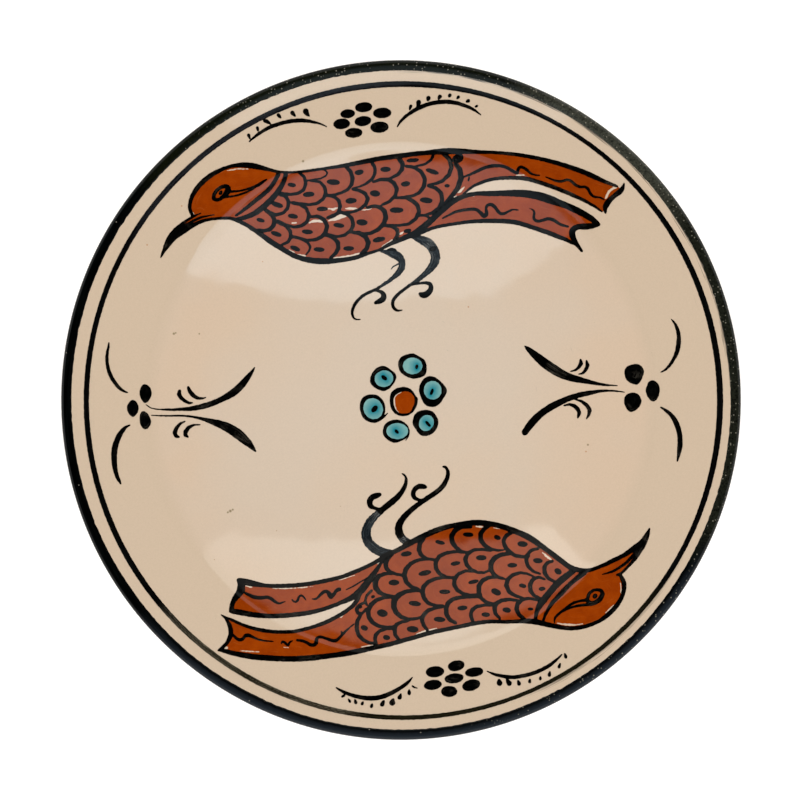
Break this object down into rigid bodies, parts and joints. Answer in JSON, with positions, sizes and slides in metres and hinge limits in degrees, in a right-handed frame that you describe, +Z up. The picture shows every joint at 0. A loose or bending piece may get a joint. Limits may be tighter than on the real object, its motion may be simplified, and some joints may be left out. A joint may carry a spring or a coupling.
{
  "type": "hand painted ceramic plate",
  "caption": "Shallow round ceramic dish on a foot ring, cream glazed, brush painted with long-tailed birds, a six-petal flower, leaf sprays and garlands inside a dark rim.",
  "frame": {"origin": "on the axis of the dish, in the plane the foot ring stands on", "axes": "+Z up along the dish's axis, +X to the right of the painting, +Y towards the upper bird"},
  "size_m": [0.25, 0.25, 0.0278],
  "materials": {
    "clay": "matt bare fired clay, seen only on the foot ring",
    "cream_glaze": "glossy cream glaze with fine specks",
    "rim_black": "glossy blue-black, brushed on the wheel",
    "black_line": "glossy black brush line",
    "orange_brown": "glossy orange-brown brush fill",
    "turquoise": "glossy thin turquoise wash",
    "grey_wash": "glossy slate grey wash"
  },
  "bodies": {
    "root": {"clay_body": "clay", "glaze_coat": "cream_glaze", "foot_hollow_glaze": "cream_glaze", "rim_band": "rim_black", "lining_ring": "rim_black", "upper_bird_body_fill": "orange_brown", "upper_bird_head_fill": "orange_brown", "upper_bird_tail_fill": "orange_brown", "upper_bird_outline": "black_line", "upper_bird_collar": "black_line", "upper_bird_scales": "black_line", "upper_bird_scale_dots": "black_line", "upper_bird_eye": "black_line", "upper_bird_tail_veins": "black_line", "upper_bird_thighs": "grey_wash", "upper_bird_toes": "black_line", "lower_bird_body_fill": "orange_brown", "lower_bird_head_fill": "orange_brown", "lower_bird_tail_fill": "orange_brown", "lower_bird_outline": "black_line", "lower_bird_collar": "black_line", "lower_bird_scales": "black_line", "lower_bird_scale_dots": "black_line", "lower_bird_eye": "black_line", "lower_bird_tail_veins": "black_line", "lower_bird_thighs": "grey_wash", "lower_bird_toes": "black_line", "flower_heart": "orange_brown", "flower_heart_ring": "black_line", "flower_petals": "turquoise", "flower_petal_rings": "black_line", "flower_petal_pips": "black_line", "left_spray_stems": "black_line", "left_spray_berries": "black_line", "left_spray_ticks": "black_line", "left_spray_crescents": "black_line", "right_spray_stems": "black_line", "right_spray_berries": "black_line", "right_spray_ticks": "black_line", "right_spray_crescents": "black_line", "top_rosette": "black_line", "top_garland_arcs": "black_line", "top_garland_ticks": "black_line", "bottom_rosette": "black_line", "bottom_garland_arcs": "black_line", "bottom_garland_ticks": "black_line"}
  },
  "joints": []
}
